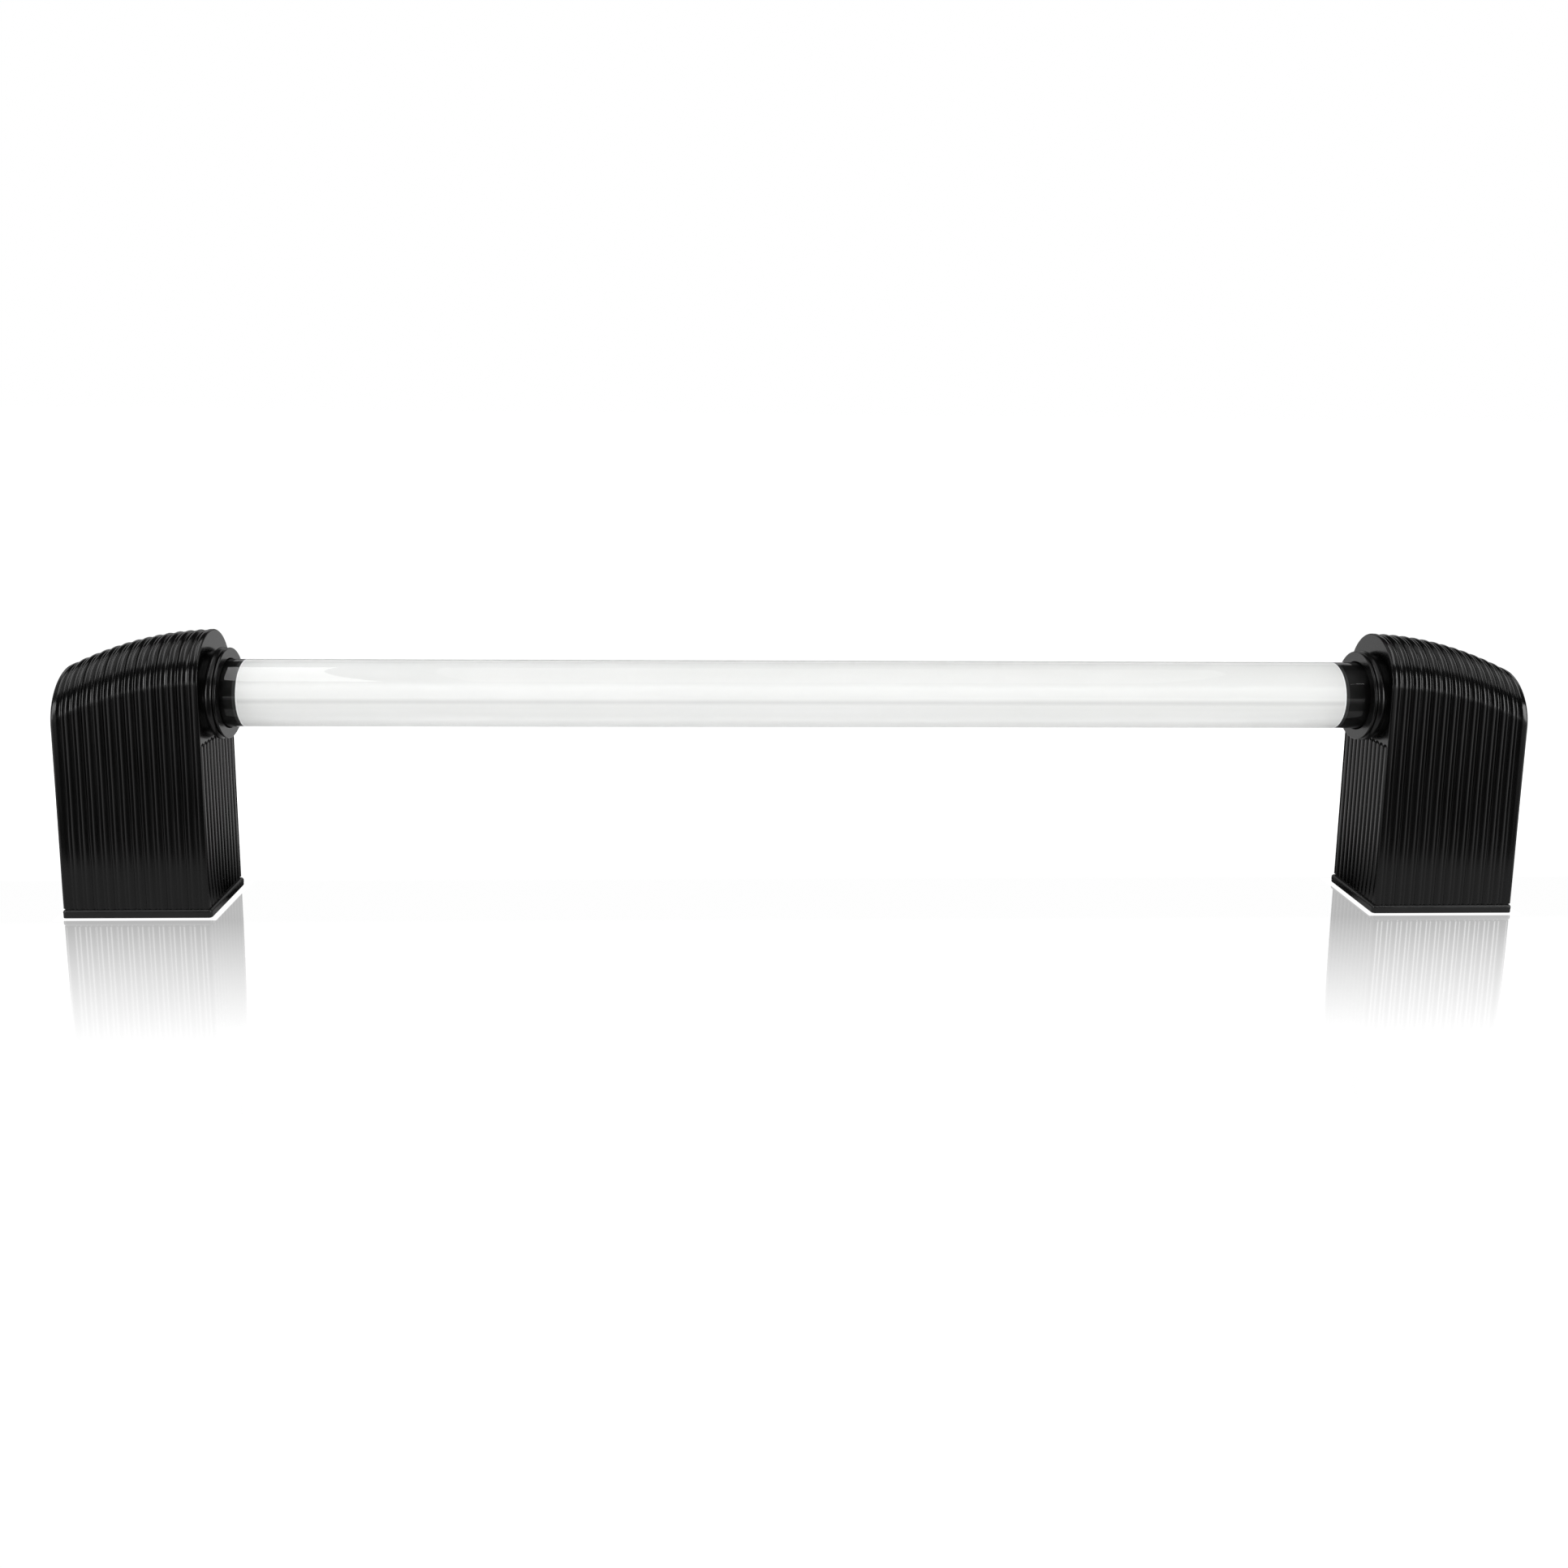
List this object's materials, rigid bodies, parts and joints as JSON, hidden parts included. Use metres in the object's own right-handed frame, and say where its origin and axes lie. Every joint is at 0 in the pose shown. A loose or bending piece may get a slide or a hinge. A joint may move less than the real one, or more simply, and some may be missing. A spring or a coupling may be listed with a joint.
{
  "type": "pull up bar",
  "caption": "Fixed pull-up bar with a clear free-turning grip sleeve over a white liner, held between ribbed end blocks that bolt down through steel base plates.",
  "frame": {"origin": "centre of the mounting plane, midway between the two end blocks", "axes": "+X along the bar to the right-hand block, +Y across the bar, +Z away from the mounting surface towards the bar"},
  "size_m": [0.818, 0.056, 0.1576],
  "materials": {
    "core_steel": "drawn steel tube, bright zinc plated",
    "clear_grip": "clear polished plastic tube",
    "white_liner": "white plastic liner",
    "bushing_nylon": "black nylon, turned",
    "washer_acetal": "natural acetal",
    "plate_paint": "black powder coat, semi-gloss",
    "post_paint": "black powder coat",
    "socket_steel": "turned steel, zinc plated",
    "zinc_hardware": "bright zinc",
    "cover_plastic": "black moulded plastic, satin, ribbed",
    "collar_plastic": "black moulded plastic, semi-gloss"
  },
  "bodies": {
    "frame": {"core_tube": "core_steel", "thrust_washer_left": "washer_acetal", "thrust_washer_right": "washer_acetal", "base_plate_left": "plate_paint", "base_plate_right": "plate_paint", "post_left": "post_paint", "post_right": "post_paint", "socket_left": "socket_steel", "socket_right": "socket_steel", "set_screw_left": "zinc_hardware", "set_screw_right": "zinc_hardware", "weld_nuts_left": "zinc_hardware", "weld_nuts_right": "zinc_hardware", "cover_left": "cover_plastic", "cover_right": "cover_plastic", "collar_left": "collar_plastic", "collar_right": "collar_plastic", "cover_screws_left": "zinc_hardware", "cover_screws_right": "zinc_hardware"},
    "grip": {"clear_sleeve": "clear_grip", "white_liner": "white_liner", "end_bushing_left": "bushing_nylon", "end_bushing_right": "bushing_nylon"}
  },
  "joints": [
    {"name": "grip_spin", "type": "hinge", "parent": "frame", "child": "grip", "pos_m": [0, 0, 0.1217], "axis": [1, 0, 0], "continuous": true}
  ]
}
